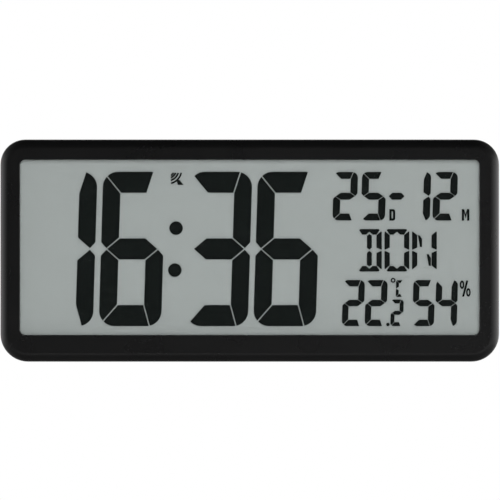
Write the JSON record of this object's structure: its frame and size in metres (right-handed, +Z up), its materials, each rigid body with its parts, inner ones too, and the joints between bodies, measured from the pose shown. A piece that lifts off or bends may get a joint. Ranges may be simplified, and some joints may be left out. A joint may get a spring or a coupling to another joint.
{
  "type": "radio-controlled wall clock",
  "caption": "Wide wall clock with a large LCD for time, date, weekday and indoor climate in a shallow black case, keyhole, hinged battery door, fold-out stand and rear buttons.",
  "frame": {"origin": "centre of the keyhole's entry hole, in the plane of the wall", "axes": "+X to the right as seen from the front, +Y into the wall, +Z up; the display faces -Y"},
  "size_m": [0.368, 0.03, 0.164],
  "materials": {
    "case_black": "fine satin texture",
    "lens_clear": "clear and glossy",
    "tape_black": "matt foam tape",
    "film_clear": "clear film",
    "display_glass": "thin clear glass",
    "cell_seal": "cured resin",
    "segment_dark": "dark liquid crystal",
    "reflector_grey": "silvery grey-green film",
    "holder_white": "moulded, satin",
    "contact_rubber": "striped soft rubber",
    "board_green": "lacquered board",
    "chip_black": "moulded resin",
    "switch_black": "moulded",
    "plunger_white": "moulded",
    "button_black": "satin",
    "can_metal": "drawn can",
    "ferrite_grey": "pressed ferrite",
    "copper_wire": "enamelled winding",
    "cell_sleeve": "printed sleeve with plain polarity marks",
    "contact_steel": "nickel plated",
    "screw_steel": "zinc plated",
    "lead_red": "PVC",
    "lead_black": "PVC",
    "lead_white": "PVC"
  },
  "bodies": {
    "case": {"front_frame": "case_black", "rear_cover": "case_black", "window_lens": "lens_clear", "lens_tape": "tape_black", "display_gasket": "tape_black", "front_polariser": "film_clear", "front_glass": "display_glass", "rear_glass": "display_glass", "cell_seal": "cell_seal", "time_segments": "segment_dark", "date_segments": "segment_dark", "weekday_segments": "segment_dark", "climate_segments": "segment_dark", "symbol_segments": "segment_dark", "reflector": "reflector_grey", "lcd_holder": "holder_white", "antenna_bobbin": "holder_white", "contact_strips": "contact_rubber", "main_board": "board_green", "receiver_board": "board_green", "sensor_board": "board_green", "chip_cover": "chip_black", "receiver_chip": "chip_black", "capacitors": "chip_black", "resistors": "chip_black", "climate_sensor": "chip_black", "switch_housings": "switch_black", "quartz_crystal": "can_metal", "ferrite_rod": "ferrite_grey", "antenna_coil": "copper_wire", "battery_1": "cell_sleeve", "battery_2": "cell_sleeve", "positive_contact": "contact_steel", "negative_contact": "contact_steel", "bridge_contact": "contact_steel", "battery_springs": "contact_steel", "case_screws": "screw_steel", "holder_screws": "screw_steel", "board_screws": "screw_steel", "battery_lead_red": "lead_red", "battery_lead_black": "lead_black", "receiver_lead": "lead_white", "sensor_lead": "lead_white"},
    "battery_door": {"battery_door": "case_black"},
    "stand": {"stand": "case_black"},
    "set_button": {"set_button": "button_black", "set_plunger": "plunger_white"},
    "plus_button": {"plus_button": "button_black", "plus_plunger": "plunger_white"},
    "minus_button": {"minus_button": "button_black", "minus_plunger": "plunger_white"},
    "unit_button": {"unit_button": "button_black", "unit_plunger": "plunger_white"},
    "signal_button": {"signal_button": "button_black", "signal_plunger": "plunger_white"}
  },
  "joints": [
    {"name": "door_hinge", "type": "hinge", "parent": "case", "child": "battery_door", "pos_m": [0, -0.0015, -0.0219], "axis": [1, 0, 0], "range_deg": [0, 90]},
    {"name": "stand_hinge", "type": "hinge", "parent": "case", "child": "stand", "pos_m": [0, -0.0025, -0.128], "axis": [-1, 0, 0], "range_deg": [0, 84]},
    {"name": "set_press", "type": "slide", "parent": "case", "child": "set_button", "axis": [0, -1, 0], "range_m": [0, 0.0005], "stiffness_N_per_m": 400},
    {"name": "plus_press", "type": "slide", "parent": "case", "child": "plus_button", "axis": [0, -1, 0], "range_m": [0, 0.0005], "stiffness_N_per_m": 400},
    {"name": "minus_press", "type": "slide", "parent": "case", "child": "minus_button", "axis": [0, -1, 0], "range_m": [0, 0.0005], "stiffness_N_per_m": 400},
    {"name": "unit_press", "type": "slide", "parent": "case", "child": "unit_button", "axis": [0, -1, 0], "range_m": [0, 0.0005], "stiffness_N_per_m": 400},
    {"name": "signal_press", "type": "slide", "parent": "case", "child": "signal_button", "axis": [0, -1, 0], "range_m": [0, 0.0005], "stiffness_N_per_m": 400}
  ]
}
